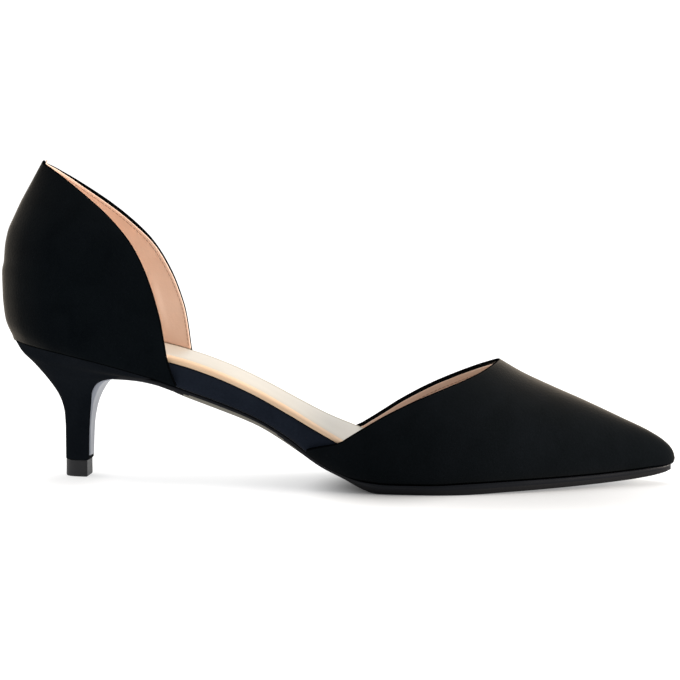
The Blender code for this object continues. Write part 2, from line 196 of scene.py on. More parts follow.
# Ridge of the vamp, carried on up the instep behind the throat
RIDGE_COLUMNS = ("x", "z")
RIDGE = (
    (112.0, 88.0),
    (140.0, 70.5),
    (160.0, 59.2),
    (172.0, 52.2),
    (184.0, 45.3),
    (192.3, 40.45),
    (203.2, 35.4),
    (214.2, 30.65),
    (228.8, 24.0),
    (239.8, 18.8),
    (245.3, 15.1),
    (247.6, 12.4),
    (248.2, 10.9),
    (248.5, 9.4),
)

# Throat line of the vamp seen from the side, on its outer and inner sides
THROAT_COLUMNS = ("x", "outer", "inner")
THROAT = (
    (116.4, 14.3, 13.8),
    (118.0, 15.0, 14.3),
    (122.5, 16.2, 15.3),
    (129.0, 17.8, 17.1),
    (132.0, 19.6, 18.7),
    (137.0, 22.8, 21.75),
    (145.0, 27.6, 26.85),
    (155.0, 32.7, 32.3),
    (165.0, 36.9, 36.95),
    (175.0, 40.75, 41.25),
    (180.0, 43.0, 43.35),
    (184.0, 45.3, 45.3),
    (192.0, 49.6, 49.6),
)

# Back of the heel cup, and how far its sides lean in, at heights above the seat
CUP_COLUMNS = ("h", "back", "lean")
CUP = (
    (0.0, 4.0, 1.0),
    (2.0, 3.4, 1.0),
    (4.0, 2.4, 1.0),
    (7.6, 1.0, 1.0),
    (11.4, 0.4, 1.0),
    (17.2, 0.0, 1.0),
    (24.2, 0.0, 0.995),
    (33.2, 0.5, 0.96),
    (40.2, 1.9, 0.895),
    (46.5, 4.7, 0.815),
    (51.9, 7.3, 0.71),
    (58.2, 10.8, 0.56),
    (62.6, 13.2, 0.44),
    (66.2, 15.2, 0.35),
)

# Topline of the heel cup seen from the side, down to its front edge, and how far its outer side stands ahead
TOPLINE_COLUMNS = ("x", "z", "ahead")
TOPLINE = (
    (15.2, 117.0, 0.0),
    (19.0, 114.7, 0.7),
    (23.6, 111.7, 1.2),
    (32.0, 105.8, 1.5),
    (40.5, 99.3, 1.3),
    (48.5, 91.9, 0.7),
    (52.3, 87.5, 0.35),
    (56.0, 81.9, 0.0),
    (59.8, 74.3, -0.35),
    (62.5, 67.0, -0.6),
    (64.6, 59.8, -0.8),
    (65.8, 52.6, -0.75),
    (66.7, 45.8, -0.45),
    (68.2, 40.0, -0.15),
    (69.6, 35.35, 0.0),
)

# Outsole: inset from the plan, crown across, and height of the tread
OUTSOLE_COLUMNS = ("x", "inset", "crown", "tread")
OUTSOLE = (
    (66.0, 4.6, 0.2, 34.5),
    (70.0, 4.6, 0.4, 32.65),
    (78.0, 4.6, 0.8, 29.6),
    (85.0, 4.6, 1.1, 27.0),
    (92.3, 4.6, 1.3, 24.25),
    (99.5, 4.6, 1.4, 21.05),
    (107.0, 4.8, 1.3, 16.7),
    (114.4, 5.0, 1.0, 12.0),
    (122.0, 5.0, 0.6, 7.4),
    (130.0, 4.2, 0.2, 4.2),
    (138.0, 2.0, 0.0, 1.1),
    (142.0, 1.0, 0.0, 0.1),
    (143.5, 0.9, 0.0, 0.0),
    (170.0, 0.8, 0.0, 0.0),
    (190.0, 0.8, 0.0, 0.65),
    (210.0, 0.8, 0.0, 1.3),
    (230.0, 1.0, 0.0, 2.4),
    (238.0, 1.1, 0.0, 3.2),
    (243.0, 1.2, 0.0, 4.0),
    (246.0, 1.25, 0.0, 4.8),
    (248.5, 1.3, 0.0, 6.2),
)

# Breast flap of the outsole: outer face from the seat down to the tip, and half width
FLAP_COLUMNS = ("x", "z", "half")
FLAP = (
    (62.0, 35.8, 20.6),
    (58.0, 36.6, 19.4),
    (53.0, 37.2, 17.6),
    (48.0, 37.4, 15.8),
    (44.0, 37.35, 14.0),
    (40.3, 36.35, 11.7),
    (38.0, 34.4, 9.9),
    (36.3, 31.6, 8.2),
    (35.0, 28.4, 6.9),
    (34.1, 24.6, 5.8),
    (33.5, 20.0, 5.1),
    (33.2, 14.0, 4.7),
    (33.1, 8.0, 4.4),
)

# Heel: back and front of each ring, its half width and how square it is
HEEL_COLUMNS = ("back_x", "back_z", "front_x", "front_z", "half", "square")
HEEL = (
    (8.3, 46.8, 55.0, 38.75, 21.4, 0.55),
    (11.8, 42.9, 49.0, 38.95, 18.2, 0.62),
    (14.8, 39.2, 44.2, 37.9, 15.4, 0.7),
    (17.2, 36.0, 39.6, 36.8, 12.8, 0.78),
    (18.95, 33.5, 36.6, 35.0, 10.8, 0.82),
    (20.7, 30.6, 34.8, 32.0, 8.9, 0.84),
    (22.05, 27.3, 34.2, 28.2, 7.3, 0.84),
    (22.85, 23.4, 33.5, 23.6, 6.1, 0.82),
    (23.15, 17.0, 32.95, 17.0, 5.2, 0.8),
    (23.15, 6.3, 32.6, 6.3, 4.85, 0.8),
)

# Width of the folded suede that shows inside the counter's edge, from the peak to the foot of the front edge
FOLD_COLUMNS = ("share", "width")
FOLD = (
    (0.0, 0.1),
    (0.12, 0.15),
    (0.2, 0.28),
    (0.28, 0.6),
    (0.36, 0.75),
    (0.5, 0.7),
    (0.56, 0.45),
    (0.6, 0.25),
    (1.0, 0.2),
)

# How far the lining's seam runs inside the lining's own edge
SEAM_COLUMNS = ("share", "inside")
SEAM = (
    (0.0, 0.8),
    (0.3, 0.9),
    (0.5, 1.1),
    (0.6, 1.3),
    (0.8, 0.8),
    (1.0, 0.6),
)

# Soft puckers of the counter's lining on both sides: ends as length round the seat and height, then size
PUCKER_COLUMNS = ("s0", "h0", "s1", "h1", "width", "rise")
PUCKERS = (
    (66.0, 14.0, 61.0, 33.0, 1.4, 0.42),
    (61.0, 13.0, 56.5, 31.0, 1.7, 0.36),
    (50.0, 13.0, 47.0, 24.0, 2.4, 0.25),
)
VAMP_FOLD = 1.2

# Edge of the sock: how far in and how high, as shares of its roll and thickness
ROLL_COLUMNS = ("into", "up")
ROLL = (
    (0.14, -0.14),
    (0.06, -0.17),
    (0.015, -0.15),
    (-0.01, -0.08),
    (-0.025, 0.06),
    (-0.025, 0.22),
    (-0.01, 0.4),
    (0.025, 0.56),
    (0.08, 0.7),
    (0.16, 0.82),
    (0.28, 0.91),
    (0.45, 0.97),
    (0.7, 0.995),
    (1.0, 1.0),
)

# Edge of the board: share of its height and how far in
BAND_COLUMNS = ("share", "into")
BAND = (
    (0.0, 0.9),
    (0.02, 0.45),
    (0.07, 0.14),
    (0.16, 0.0),
    (0.36, 0.0),
    (0.58, 0.0),
    (0.74, 0.0),
    (0.83, 0.05),
    (0.9, 0.18),
    (0.95, 0.42),
    (0.985, 0.8),
    (1.0, 1.2),
)

# Edge of the outsole: share of its height down from the top, and how far in
RAND_COLUMNS = ("share", "into")
RAND = (
    (0.0, 0.3),
    (0.07, 0.1),
    (0.16, 0.02),
    (0.3, 0.0),
    (0.46, 0.02),
    (0.6, 0.14),
    (0.74, 0.34),
    (0.87, 0.66),
    (0.96, 0.98),
    (1.0, 1.3),
)

# Heel tip: height of each ring and how far it is drawn in
TIP_COLUMNS = ("z", "into")
TIP_RINGS = (
    (0.0, 0.55),
    (0.12, 0.22),
    (0.4, 0.04),
    (0.7, 0.0),
    (TIP_HEIGHT - 0.5, 0.0),
    (TIP_HEIGHT - 0.1, 0.02),
    (TIP_HEIGHT, 0.1),
)


def column(rows, columns, name):
    return np.array([row[columns.index(name)] for row in rows], float)


def named(rows, columns):
    """Rows of a table with their values under the columns' names."""
    return [SimpleNamespace(**dict(zip(columns, row))) for row in rows]


def ramp(x, start, run):
    """Share that rises from 0 at start to 1 over run."""
    return np.clip((x - start) / run, 0, 1)


def smooth(xs, ys, at):
    """Curve through the rows that never overshoots between two of them."""
    at = np.clip(np.asarray(at, float), xs[0], xs[-1])
    step = np.diff(xs)
    slope = np.diff(ys) / step
    tangent = np.zeros(len(xs))
    tangent[0] = slope[0]
    tangent[-1] = slope[-1]
    for k in range(1, len(xs) - 1):
        if slope[k - 1] * slope[k] > 0:
            before = 2 * step[k] + step[k - 1]
            after = step[k] + 2 * step[k - 1]
            tangent[k] = (before + after) / (before / slope[k - 1] + after / slope[k])
    k = np.clip(np.searchsorted(xs, at, side="right") - 1, 0, len(xs) - 2)
    s = (at - xs[k]) / step[k]
    rise = (3 - 2 * s) * s * s
    return (
        ys[k] * (1 - rise)
        + ys[k + 1] * rise
        + step[k] * s * (1 - s) * (tangent[k] * (1 - s) - tangent[k + 1] * s)
    )


def read(rows, columns, key, name, at):
    return smooth(column(rows, columns, key), column(rows, columns, name), at)


def station(x):
    """Angle that runs from 0 at the heel to pi at the toe, so that both ends are round."""
    ratio = np.clip((np.asarray(x, float) - HEEL_X) / (TOE_X - HEEL_X), 0, 1)
    return np.arccos(1 - 2 * ratio)


def along(t):
    return HEEL_X + (TOE_X - HEEL_X) * (1 - np.cos(t)) / 2


SOLE_T = station(column(SOLE, SOLE_COLUMNS, "x"))


def sole(name, t):
    return smooth(SOLE_T, column(SOLE, SOLE_COLUMNS, name), t)


def outsole(name, x):
    return read(OUTSOLE, OUTSOLE_COLUMNS, "x", name, x)


def plan(side, t, inset):
    """Point of the sole's outline at a station, moved in by inset."""
    edge = "lateral" if side < 0 else "medial"
    near = 1e-3
    dx = along(t + near) - along(t - near)
    dy = sole(edge, np.clip(t + near, 0, math.pi)) - sole(edge, np.clip(t - near, 0, math.pi))
    length = np.maximum(np.hypot(dx, dy), 1e-9)
    return along(t) + inset * side * dy / length, sole(edge, t) - inset * side * dx / length


def tuck(h):
    return TUCK * np.clip(1 - h / TUCK_HEIGHT, 0, 1) ** 2


def cup_point(side, t, h, inset):
    """Point of the last around the heel and waist, h above the feather line."""
    x0, y0 = plan(side, t, inset)
    back = read(CUP, CUP_COLUMNS, "h", "back", h) - HEEL_X
    fade = np.clip(1 - (along(t) - HEEL_X) / CUP_LENGTH, 0, 1)
    lean = read(CUP, CUP_COLUMNS, "h", "lean", h)
    drawn = tuck(h) * ramp(np.abs(y0), 0, CUP_TUCK_FADE)
    drawn = np.sign(y0) * np.minimum(np.abs(y0), drawn)
    z = sole("feather", station(x0)) + h
    return np.stack(np.broadcast_arrays(x0 + back * fade, (y0 - drawn) * lean, z), axis=-1)


def vamp_point(side, x, turn):
    """Point of the last over the forefoot: turn runs from 0 at the feather line to 1 on the ridge."""
    t = station(x)
    edge = sole("lateral" if side < 0 else "medial", t)
    middle = (sole("lateral", t) + sole("medial", t)) / 2
    low = sole("feather", t)
    high = read(RIDGE, RIDGE_COLUMNS, "x", "z", x)
    h = (high - low) * np.sin(turn * math.pi / 2)
    reach = edge - middle
    drawn = np.sign(reach) * tuck(h) * ramp(np.abs(reach), 0, VAMP_TUCK_FADE) ** 2
    y = middle + (reach - drawn) * np.cos(turn * math.pi / 2)
    return np.stack(np.broadcast_arrays(x, y, low + h), axis=-1)


def turn_at(x, share, lift):
    """Turn at a share of the way from lift above the feather line up to the ridge."""
    rise = read(RIDGE, RIDGE_COLUMNS, "x", "z", x) - sole("feather", station(x))
    first = np.arcsin(np.clip(lift / np.maximum(rise, 1e-6), 0, 0.5)) * 2 / math.pi
    return first + (1 - first) * share


def throat_x(side, share, foot_height):
    """Where the line of this share leaves the throat."""
    low, high = THROAT[0][0], THROAT_END
    for _ in range(40):
        x = (low + high) / 2
        cut = read(THROAT, THROAT_COLUMNS, "x", "outer" if side < 0 else "inner", x)
        above = vamp_point(side, x, turn_at(x, share, foot_height(x)))[2] - cut
        low, high = (x, high) if above > 0 else (low, x)
    return (low + high) / 2


def steps_of(line):
    """Length along a line of points, from its start."""
    return np.concatenate([[0], np.cumsum(np.linalg.norm(np.diff(line, axis=0), axis=1))])


def vamp_grid(per_side, rows, lead, foot_height, tail):
    """Outer face of the vamp from lead inside the throat to tail short of the nose, with its foot raised."""
    shares = (np.arange(per_side + 1) / per_side) ** CLOSE_UP
    lines = [(1, k) for k in range(per_side + 1)] + [(-1, k) for k in range(per_side - 1, -1, -1)]
    fine = np.linspace(0, 1, 400)
    dense = []
    for side, k in lines:
        start = throat_x(side, shares[k], foot_height)
        x = start + (TOE_X - start) * np.sin(fine * math.pi / 2)
        dense.append(vamp_point(side, x, turn_at(x, shares[k], foot_height(x))))
    dense = np.array(dense)
    cut = unit(np.gradient(dense[:, 0], axis=0))
    ahead = unit(dense[:, 2] - dense[:, 0])
    square = np.linalg.norm(np.cross(cut, ahead), axis=1)
    share = np.linspace(0, 1, rows + 1)
    share = 1 - (1 - share) ** CLOSE_UP
    grid = np.zeros((rows + 1, len(lines), 3))
    for j in range(len(lines)):
        length = steps_of(dense[j])
        first = lead / max(square[j], LEAST_SQUARE)
        at = first + (length[-1] - first - tail) * share
        for axis in range(3):
            grid[:, j, axis] = np.interp(at, length, dense[j, :, axis])
    return grid


def edge_in_cup(x, z):
    """Station and height on the cup's surface of a point given in the side view."""
    t, h = station(x), 0.0
    for _ in range(60):
        h = z - sole("feather", t)
        back = read(CUP, CUP_COLUMNS, "h", "back", h) - HEEL_X
        x0 = (x - back * (1 + HEEL_X / CUP_LENGTH)) / (1 - back / CUP_LENGTH)
        t = station(x0)
    return float(t), float(h)


SEAT_T = np.linspace(0, float(station(SEAT_END)), 400)
SEAT_S = {side: steps_of(np.stack(plan(side, SEAT_T, 0.0), axis=1)) for side in (-1, 1)}


def unit(vectors):
    return vectors / np.maximum(np.linalg.norm(vectors, axis=-1, keepdims=True), 1e-9)


def counter_edge(side, inset, low):
    """Edge of the counter moved in, from its back down to low: length round the seat and height."""
    x, z, ahead = (column(TOPLINE, TOPLINE_COLUMNS, name) for name in TOPLINE_COLUMNS)
    rows = np.array([edge_in_cup(*place) for place in zip(x + ahead * (side < 0), z)])
    rows[0] = (0.0, CUP_PEAK)
    line = np.stack([np.interp(rows[:, 0], SEAT_T, SEAT_S[side]), rows[:, 1]], axis=1)
    length = steps_of(line)
    at = np.linspace(0, length[-1], 800)
    line = np.stack([smooth(length, line[:, k], at) for k in (0, 1)], axis=1)
    way = unit(np.gradient(line, axis=0))
    line = line + inset(at / length[-1])[:, None] * np.stack([way[:, 1], -way[:, 0]], axis=1)
    line = line[(line[:, 0] >= 0) & (line[:, 1] >= low)]
    line[0, 0] = 0.0
    line[-1, 1] = low
    return line


def evenly(line, count):
    length = steps_of(line)
    at = np.linspace(0, length[-1], count + 1)
    return np.stack([np.interp(at, length, line[:, k]) for k in range(line.shape[1])], axis=1)


def cup_face(side, s, h):
    """Points and outward normals of the counter's outer face."""
    near = 0.05

    def at(more_s, more_h):
        t = np.interp(np.abs(s + more_s), SEAT_S[side], SEAT_T)
        found = cup_point(side, t, h + more_h, 0.0)
        found[..., 1] = np.where(s + more_s < 0, -found[..., 1], found[..., 1])
        return found

    out = unit(np.cross(at(near, 0.0) - at(-near, 0.0), at(0.0, near) - at(0.0, -near)))
    return at(0.0, 0.0), -side * out


def counter_grid(around, up, inset, low, foot_height):
    """Outer face of the counter with its edge moved in and its foot raised, its normals and flat layout."""
    halves = []
    for side in (1, -1):
        edge = counter_edge(side, inset, low)
        top = evenly(edge[edge[:, 1] >= low + FOOT_SIDE], around)
        share = (np.linspace(0, 1, around + 1) + top[:, 0] / top[-1, 0]) / 2
        foot = np.stack([edge[-1, 0] * share, foot_height(side, edge[-1, 0] * share)], axis=1)
        v = np.linspace(0, 1, up + 1)[:, None, None]
        face = foot[None] * (1 - v) + top[None] * v
        points, out = cup_face(side, face[..., 0], face[..., 1])
        halves.append((points, out, face))
    joined = [np.concatenate([a[:, ::-1], b[:, 1:]], axis=1) for a, b in zip(*halves)]
    return joined


def above_sock(side, s):
    """Height of the lining's foot, raised so a strip of the black suede shows above the sock as a fine dark
    line, standing in for the shade where lining and sock meet.
    """
    t = np.interp(s, SEAT_S[side], SEAT_T)
    board = sole("insole", t) - sole("feather", t) - (side > 0) * sole("tilt", t)
    return board + GAP + SOCK_CLEAR


def fold_width(share):
    return read(FOLD, FOLD_COLUMNS, "share", "width", share)


def stiffener_step(s, h):
    """Soft step across the back where the stiffener inside ends, fading round the sides."""
    off = h - STIFFENER_TOP
    round_back = ramp(STEP_REACH, np.abs(s), STEP_REACH)
    return -STEP_RISE * np.tanh(off / STEP_SOFT) * np.exp(-((off / STEP_FADE) ** 2)) * round_back


def puckers(s, h):
    """Rise of the soft puckers in the lining."""
    made = np.zeros_like(s)
    for pull in named(PUCKERS, PUCKER_COLUMNS):
        way = np.array([pull.s1 - pull.s0, pull.h1 - pull.h0])
        share = np.clip(((s - pull.s0) * way[0] + (h - pull.h0) * way[1]) / (way @ way), 0, 1)
        off = np.hypot(s - pull.s0 - share * way[0], h - pull.h0 - share * way[1])
        swell = np.sin(math.pi * (0.1 + 0.8 * share))
        made = made + pull.rise * np.exp(-((off / pull.width) ** 2)) * swell
    return made


def outward(grid, facing):
    """Normals of a grid, on the side that the middle of the grid faces."""
    found = unit(np.cross(np.gradient(grid, axis=0), np.gradient(grid, axis=1)))
    middle = found[grid.shape[0] // 2, grid.shape[1] // 2]
    return found if middle @ np.array(facing) > 0 else -found


TIP_LOW, TIP_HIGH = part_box("heel_tip")
MIDDLE = np.array(
    [TOE_X - 1000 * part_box("vamp")[1].x, HEEL_Y - 500 * (TIP_LOW.y + TIP_HIGH.y), 0.0]
)


def in_frame(points):
    """Millimetres of the shoe to metres of the frame."""
    return (np.asarray(points, float) - MIDDLE) / 1000


def put(name, data):
    """New object in the scene."""
    made = bpy.data.objects.new(name, data)
    bpy.context.scene.collection.objects.link(made)
    return made


def piece(name, points, faces, looks, kinds=None, sharp=40):
    """Closed mesh with its faces outwards. kinds gives each face's material."""
    mesh = bpy.data.meshes.new(name)
    mesh.from_pydata([tuple(p) for p in in_frame(points)], [], faces)
    for look in looks:
        mesh.materials.append(look)
    if kinds is not None:
        mesh.polygons.foreach_set("material_index", kinds)
    mesh.polygons.foreach_set("use_smooth", [True] * len(mesh.polygons))
    work = bmesh.new()
    work.from_mesh(mesh)
    bmesh.ops.recalc_face_normals(work, faces=work.faces)
    if work.calc_volume(signed=True) < 0:
        bmesh.ops.reverse_faces(work, faces=work.faces)
    work.to_mesh(mesh)
    work.free()
    mesh.set_sharp_from_angle(angle=math.radians(sharp))
    return put(name, mesh)


def rolled_sheet(name, grid, out, thick, looks, pole=None, rolls=6):
    """Leather inside a grid, its cut edges rolled round in the second look. A pole closes the last row."""
    rows, count = grid.shape[:2]
    thick = np.broadcast_to(np.asarray(thick, float), grid.shape[:2])
    inner = grid - out * thick[..., None]
    size = rows * count
    points = [*grid.reshape(-1, 3), *inner.reshape(-1, 3)]
    faces = []
    for i in range(rows - 1):
        for j in range(count - 1):
            a, b = i * count + j, (i + 1) * count + j
            faces.append((a, a + 1, b + 1, b))
            faces.append((size + b, size + b + 1, size + a + 1, size + a))
    border = [(i, 0) for i in range(rows - 1, 0, -1)] + [(0, j) for j in range(count)]
    border += [(i, count - 1) for i in range(1, rows)]
    if pole is None:
        border += [(rows - 1, j) for j in range(count - 2, 0, -1)]
    ends = [(i * count + j, size + i * count + j) for i, j in border]
    line = [grid[i, j] for i, j in border]
    across_out = [out[i, j] for i, j in border]
    if pole is not None:
        last = (rows - 1) * count
        nose = unit(out[-1].mean(axis=0))
        points += [np.array(pole, float), np.array(pole, float) - nose * thick[-1, 0]]
        tip, tip_in = len(points) - 2, len(points) - 1
        for j in range(count - 1):
            faces.append((last + j, last + j + 1, tip))
            faces.append((size + last + j + 1, size + last + j, tip_in))
        ends.append((tip, tip_in))
        line.append(np.array(pole, float))
        across_out.append(nose)
    line, across_out = np.array(line), np.array(across_out)
    along_edge = np.roll(line, -1, axis=0) - np.roll(line, 1, axis=0)
    ways = unit(np.cross(along_edge, across_out))
    middle = rows - 1 + count // 2
    if ways[middle] @ (grid[0, count // 2] - grid[1, count // 2]) < 0:
        ways = -ways
    chains = []
    for (a, b), way in zip(ends, ways):
        half = (np.asarray(points[a]) - np.asarray(points[b])) / 2
        centre = np.asarray(points[b]) + half
        chain = [a]
        for q in range(1, rolls):
            turn = math.pi * q / rolls
            points.append(centre + half * math.cos(turn) + way * np.linalg.norm(half) * math.sin(turn))
            chain.append(len(points) - 1)
        chains.append(chain + [b])
    kinds = [0] * len(faces)
    for k, chain in enumerate(chains):
        beside = chains[(k + 1) % len(chains)]
        faces += [(chain[q], chain[q + 1], beside[q + 1], beside[q]) for q in range(rolls)]
    kinds += [1] * (len(faces) - len(kinds))
    return piece(name, points, faces, looks, kinds, sharp=60)


def loft(name, rings, looks, kinds=None):
    """Solid through closed rings, each end closed to a middle point. kinds gives each face's material."""
    rings = np.asarray(rings, float)
    count, around = rings.shape[:2]
    points = [*rings.reshape(-1, 3), rings[0].mean(axis=0), rings[-1].mean(axis=0)]
    faces, marks = [], []
    for i in range(count - 1):
        for j in range(around):
            k = (j + 1) % around
            faces.append((i * around + j, i * around + k, (i + 1) * around + k, (i + 1) * around + j))
            marks.append(int(kinds[i, j]) if kinds is not None else 0)
    for base, middle in ((0, count * around), ((count - 1) * around, count * around + 1)):
        for j in range(around):
            faces.append((base + j, base + (j + 1) % around, middle))
            marks.append(0)
    return piece(name, points, faces, looks, marks)


def across(left, right, count, drop):
    """Points from one edge to the other, sagging by drop in the middle."""
    share = np.linspace(0, 1, count + 1)[None, :, None]
    made = left[:, None, :] * (1 - share) + right[:, None, :] * share
    made[..., 2] -= np.asarray(drop)[:, None] * 4 * share[0, :, 0] * (1 - share[0, :, 0])
    return made[:, 1:-1]


def inner_edge(side, t, share, more, inset):
    """Points beside the wall, at a share of the board's thickness and some more."""
    there = station(plan(side, t, inset)[0])
    thick = sole("insole", there) - sole("feather", there) - (side > 0) * sole("tilt", there)
    h = thick * share + more
    return cup_point(side, t, h, inset + BOARD_TUCK * tuck(h))


def toe_extra(t):
    """Extra room that board and sock leave beside the wall towards the toe."""
    return TOE_ROOM * ramp(along(t), TOE_ROOM_START, TOE_ROOM_RUN)


# Stations of the board, the sock and the outsole, just short of both ends
STATIONS = np.linspace(0.04, math.pi - 0.05, 170)


def build_board(look):
    room = WALL + GAP + BOARD_EASE + toe_extra(STATIONS)
    x = along(STATIONS)
    crown = np.where(x > OUTSOLE[0][0], outsole("crown", x), 0.0)
    left, right = [], []
    for edge in named(BAND, BAND_COLUMNS):
        flare = ramp(FLARE_TOP, edge.share, FLARE_FADE)
        inset = room + edge.into - BOARD_FLARE * toe_extra(STATIONS) * flare
        left.append(inner_edge(-1, STATIONS, edge.share, 0.0, inset))
        right.append(inner_edge(1, STATIONS, edge.share, 0.0, inset))
    under = across(left[0], right[0], ACROSS, crown)
    over = across(right[-1], left[-1], ACROSS, crown * 0)
    rings = np.concatenate([np.stack(left[::-1], 1), under, np.stack(right, 1), over], axis=1)
    return loft("board_band", rings, [look])


def build_sock(look, edge_look, rim_look):
    top, rolled, turned = range(3)
    room = WALL + GAP + SOCK_EASE + toe_extra(STATIONS) * SOCK_TOE_SHARE
    x = along(STATIONS)
    pad = SOCK_PAD * ramp(x, PAD_START, PAD_RISE) * ramp(PAD_END, x, PAD_FALL)
    edges = {}
    for side, thick in ((-1, SOCK_THICK + pad), (1, SOCK_THICK + 0 * pad)):
        edges[side] = [
            inner_edge(side, STATIONS, 1.0, GAP + thick * up, room + SOCK_ROLL * into) for into, up in ROLL
        ]
    left, right = edges[-1], edges[1]
    flat = np.zeros(len(STATIONS))
    under = across(left[0], right[0], ACROSS, flat)
    over = across(right[-1], left[-1], SOCK_ACROSS, flat - SOCK_CROWN)
    rings = np.concatenate([np.stack(left[::-1], 1), under, np.stack(right, 1), over], axis=1)
    into = column(ROLL, ROLL_COLUMNS, "into")
    edge = len(ROLL)
    far = edge + ACROSS - 1
    kinds = np.full((len(rings) - 1, rings.shape[1]), top)
    kinds[:, :edge] = np.where(into[::-1] < ROLLED_NEAR, rolled, top)
    far_top = np.where(into < TURNED_FAR, turned, top)
    kinds[:, far : far + edge] = np.where(into < ROLLED_FAR, rolled, far_top)
    return loft("sock", rings, [look, edge_look, rim_look], kinds)


def rand_ring(top, bottom, crown):
    """Rings of the outsole from its upper and lower edge on both sides."""
    middle = (top[-1] + top[1]) / 2
    sides = {}
    for side in (-1, 1):
        room = np.abs(top[side][:, 1] - middle[:, 1])
        line = []
        for share, into in RAND:
            p = top[side] * (1 - share) + bottom[side] * share
            p[:, 1] -= side * np.minimum(into, room / 2)
            line.append(p)
        sides[side] = line
    under = across(sides[-1][-1], sides[1][-1], SOLE_ACROSS, crown)
    over = across(sides[1][0], sides[-1][0], SOLE_ACROSS, crown)
    return np.concatenate([np.stack(sides[-1], 1), under, np.stack(sides[1][::-1], 1), over], axis=1)


def build_outsole(edge_look, tread_look, flap_shine_look, waist_glint_look):
    painted, walked, breast, glint = range(4)
    forward = STATIONS[::-1]
    t = np.concatenate([[float(station(SOLE_NOSE))], forward[along(forward) > SOLE_BACK]])
    top, bottom = {}, {}
    for side in (-1, 1):
        x, y = plan(side, t, outsole("inset", along(t)))
        top[side] = np.stack([x, y, sole("feather", station(x)) - GAP / 3], axis=1)
        bottom[side] = np.stack([x, y, outsole("tread", x)], axis=1)
    walk = rand_ring(top, bottom, outsole("crown", along(t)))
    length = steps_of(np.stack([column(FLAP, FLAP_COLUMNS, name) for name in ("x", "z")], axis=1))
    at = np.linspace(0, length[-1], 70)
    x, z, half = (smooth(length, column(FLAP, FLAP_COLUMNS, name), at) for name in FLAP_COLUMNS)
    way = unit(np.stack([np.gradient(x), np.gradient(z)], axis=1))
    thick = FLAP_THICK + FLAP_LAP
    inner_x, inner_z = x + way[:, 1] * thick, z - way[:, 0] * thick
    for side in (-1, 1):
        y = HEEL_Y + side * half
        top[side] = np.stack([inner_x, y, inner_z], axis=1)
        bottom[side] = np.stack([x, y, z], axis=1)
    hollow = HOLLOW * ramp(at, HOLLOW_START, HOLLOW_RISE) * ramp(length[-1], at, HOLLOW_FALL)
    flap = rand_ring(top, bottom, hollow * 0)
    near = len(RAND)
    far = near + SOLE_ACROSS - 1
    share = np.linspace(0, 1, SOLE_ACROSS + 1)[1:-1]
    flap[:, near:far, 0] -= np.outer(4 * hollow, share * (1 - share))
    rings = np.concatenate([walk, flap])
    down = column(RAND, RAND_COLUMNS, "share")
    edge = np.where(down < PAINTED_SHARE, painted, walked)
    kinds = np.full((len(rings) - 1, rings.shape[1]), painted)
    kinds[: len(walk), :near] = edge
    kinds[: len(walk), near - 1 : far] = walked
    kinds[: len(walk), far : far + near] = edge[::-1]
    # A pale glint painted along the lower edge under the waist, fading out at both ends
    ends = ramp(along(t), GLINT_FRONT, GLINT_FRONT_FADE) + ramp(GLINT_BACK, along(t), GLINT_BACK_FADE)
    for i, j in np.argwhere(down[None, :-1] > PAINTED_SHARE + (1 - PAINTED_SHARE) * ends[:, None]):
        kinds[i, [j, far + near - 2 - j]] = glint
    # Light-grey shine painted on the upright flap
    upright = np.flatnonzero(x < FLAP_UPRIGHT) + len(walk)
    kinds[upright[:-1], : far + near] = breast
    return loft("outsole_rand", rings, [edge_look, tread_look, flap_shine_look, waist_glint_look], kinds)


def heel_ring(back, front, half, square, segments):
    """Rounded ring from the front corner on the outer side, round the back, to the other corner."""
    q = np.linspace(-1, 1, 2 * segments + 1)
    a = np.abs(q) * math.pi / 2
    f = 1 - np.cos(a)
    wide = half * np.sin(a) ** square
    x = back[0] + (front[0] - back[0]) * f
    z = back[1] + (front[1] - back[1]) * f
    return np.stack([x, HEEL_Y + np.copysign(wide, q), z], axis=1)


def seat_ring(segments, front, drop, inset):
    """Ring that follows the seat under the cup."""
    q = np.linspace(-1, 1, 2 * segments + 1)
    t = station(HEEL_X + (front - HEEL_X) * (1 - np.cos(np.abs(q) * math.pi / 2)))
    made = np.where(q[:, None] < 0, cup_point(-1, t, 0.0, inset), cup_point(1, t, 0.0, inset))
    made[segments, 1] = 0.0
    made[:, 2] -= drop
    return made


def build_heel(look):
    segments = 36
    rings = [seat_ring(segments, SEAT_FRONT, -SEAM_LAP, SEAT_INSET)]
    for row in named(HEEL, HEEL_COLUMNS):
        back, front = (row.back_x, row.back_z), (row.front_x, row.front_z)
        rings.append(heel_ring(back, front, row.half, row.square, segments))
    rings = np.array(rings)
    apart = np.linalg.norm(np.diff(rings, axis=0), axis=2).mean(axis=1)
    rows = np.concatenate([[0], np.cumsum(apart)])
    at = np.linspace(0, rows[-1], 76)
    fine = np.zeros((len(at), *rings.shape[1:]))
    for j in range(rings.shape[1]):
        for axis in range(3):
            fine[:, j, axis] = smooth(rows, rings[:, j, axis], at)
    made = loft("heel_cover", fine, [look])
    soften(made, width=0.35, angle=55)
    return made


def build_tip(look):
    rings = []
    for row in named(TIP_RINGS, TIP_COLUMNS):
        back, front = (TIP_BACK + row.into, row.z), (TIP_FRONT - row.into, row.z)
        rings.append(heel_ring(back, front, TIP_HALF - row.into, TIP_SQUARE, segments=28))
    made = loft("heel_tip_rubber", rings, [look])
    soften(made, width=0.25, angle=55)
    return made


def soften(made, width, angle):
    """Round the sharp corners of a piece."""
    bevel = made.modifiers.new("soft corners", "BEVEL")
    bevel.width = width / 1000
    bevel.segments = 3
    bevel.limit_method = "ANGLE"
    bevel.angle_limit = math.radians(angle)
    bevel.use_clamp_overlap = True


